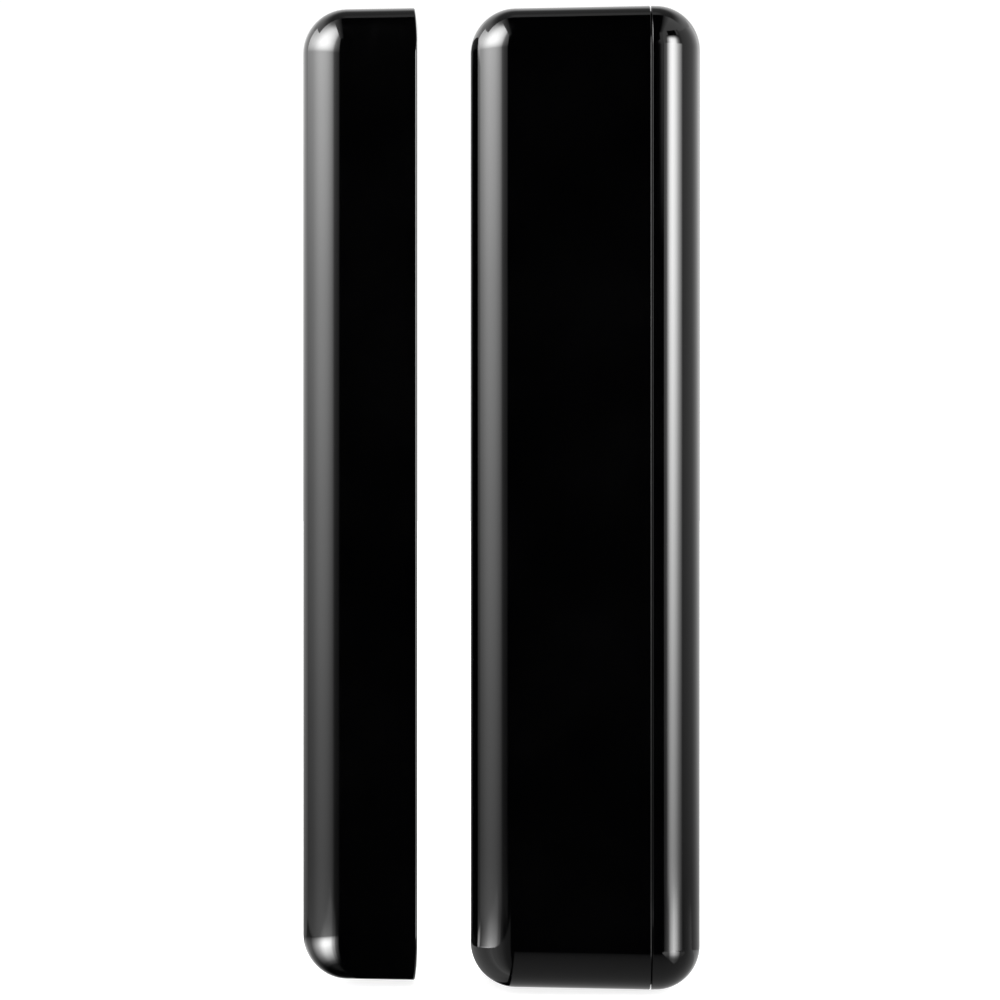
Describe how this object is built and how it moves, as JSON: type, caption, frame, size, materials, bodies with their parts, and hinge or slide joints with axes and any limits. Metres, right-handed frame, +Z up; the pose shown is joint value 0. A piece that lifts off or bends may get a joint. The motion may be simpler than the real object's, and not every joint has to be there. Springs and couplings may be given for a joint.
{
  "type": "door contact sensor",
  "caption": "Slim wireless door contact: a tall rounded sensor with a side cover on a wall bracket, and a narrower magnet unit that stands beside it.",
  "frame": {"origin": "on the wall face of the sensor's adhesive tape, behind the middle of the sensor", "axes": "+X along the wall, from the magnet unit to the sensor; +Y into the wall; +Z up, along both housings"},
  "size_m": [0.0366, 0.02, 0.0903],
  "materials": {
    "housing_plastic": "gloss black",
    "bracket_plastic": "matte black",
    "adhesive_tape": "matte grey foam tape",
    "foam": "matte foam",
    "board": "satin solder mask",
    "component_black": "moulded epoxy",
    "tin_plate": "tin plate",
    "spring_steel": "bright spring steel",
    "copper_wire": "lacquered copper",
    "reed_glass": "clear glass",
    "reed_metal": "plated",
    "led_lens": "translucent",
    "button_plastic": "satin",
    "capacitor_resin": "moulded resin",
    "battery_steel": "nickel plate",
    "battery_wrap": "shrunk film",
    "magnet_nickel": "nickel plate"
  },
  "bodies": {
    "bracket": {"mounting_bracket": "bracket_plastic", "bracket_tape": "adhesive_tape"},
    "sensor": {"sensor_housing": "housing_plastic", "circuit_board": "board", "shield_can": "tin_plate", "microcontroller": "component_black", "crystal": "tin_plate", "status_led": "led_lens", "antenna_coil": "copper_wire", "voltage_regulator": "component_black", "storage_capacitor": "capacitor_resin", "reed_glass": "reed_glass", "reed_lower_lead": "reed_metal", "reed_upper_lead": "reed_metal", "tamper_switch": "component_black", "enrol_switch": "component_black", "positive_contact": "spring_steel", "negative_contact": "spring_steel", "contact_spring": "spring_steel"},
    "reed_blade": {"reed_blade": "reed_metal"},
    "tamper_plunger": {"tamper_plunger": "button_plastic", "tamper_spring": "spring_steel"},
    "enrol_cap": {"enrol_cap": "button_plastic"},
    "side_cover": {"side_cover": "housing_plastic"},
    "battery": {"battery_can": "battery_steel", "battery_wrap": "battery_wrap"},
    "magnet_base": {"magnet_base": "bracket_plastic", "magnet_tape": "adhesive_tape", "upper_bar_magnet": "magnet_nickel", "lower_bar_magnet": "magnet_nickel"},
    "magnet_housing": {"magnet_housing": "housing_plastic", "foam_strip": "foam"}
  },
  "joints": [
    {"name": "bracket_slide", "type": "slide", "parent": "bracket", "child": "sensor", "axis": [0, 0, 1], "range_m": [0, 0.005]},
    {"name": "tamper_plunger_slide", "type": "slide", "parent": "sensor", "child": "tamper_plunger", "axis": [0, 1, 0], "range_m": [0, 0.001]},
    {"name": "enrol_button_press", "type": "slide", "parent": "sensor", "child": "enrol_cap", "axis": [0, -1, 0], "range_m": [0, 0.0004], "stiffness_N_per_m": 800},
    {"name": "side_cover_pull", "type": "slide", "parent": "sensor", "child": "side_cover", "axis": [1, 0, 0], "range_m": [0, 0.03]},
    {"name": "battery_out", "type": "slide", "parent": "sensor", "child": "battery", "axis": [1, 0, 0], "range_m": [0, 0.0225]},
    {"name": "reed_blade_bend", "type": "hinge", "parent": "sensor", "child": "reed_blade", "pos_m": [-0.00705, -0.0096, 0.0056], "axis": [0, 1, 0], "range_deg": [-2, 0]},
    {"name": "door_travel", "type": "slide", "parent": "bracket", "child": "magnet_base", "axis": [-1, 0, 0], "range_m": [0, 0.04]},
    {"name": "magnet_housing_pull", "type": "slide", "parent": "magnet_base", "child": "magnet_housing", "axis": [0, -1, 0], "range_m": [0, 0.02]}
  ],
  "couplings": [
    {"joint": "tamper_plunger_slide", "follows": "bracket_slide", "ratio": 0.2},
    {"joint": "battery_out", "follows": "side_cover_pull", "ratio": 0.75},
    {"joint": "reed_blade_bend", "follows": "door_travel", "rad_per_m": -0.87179}
  ]
}
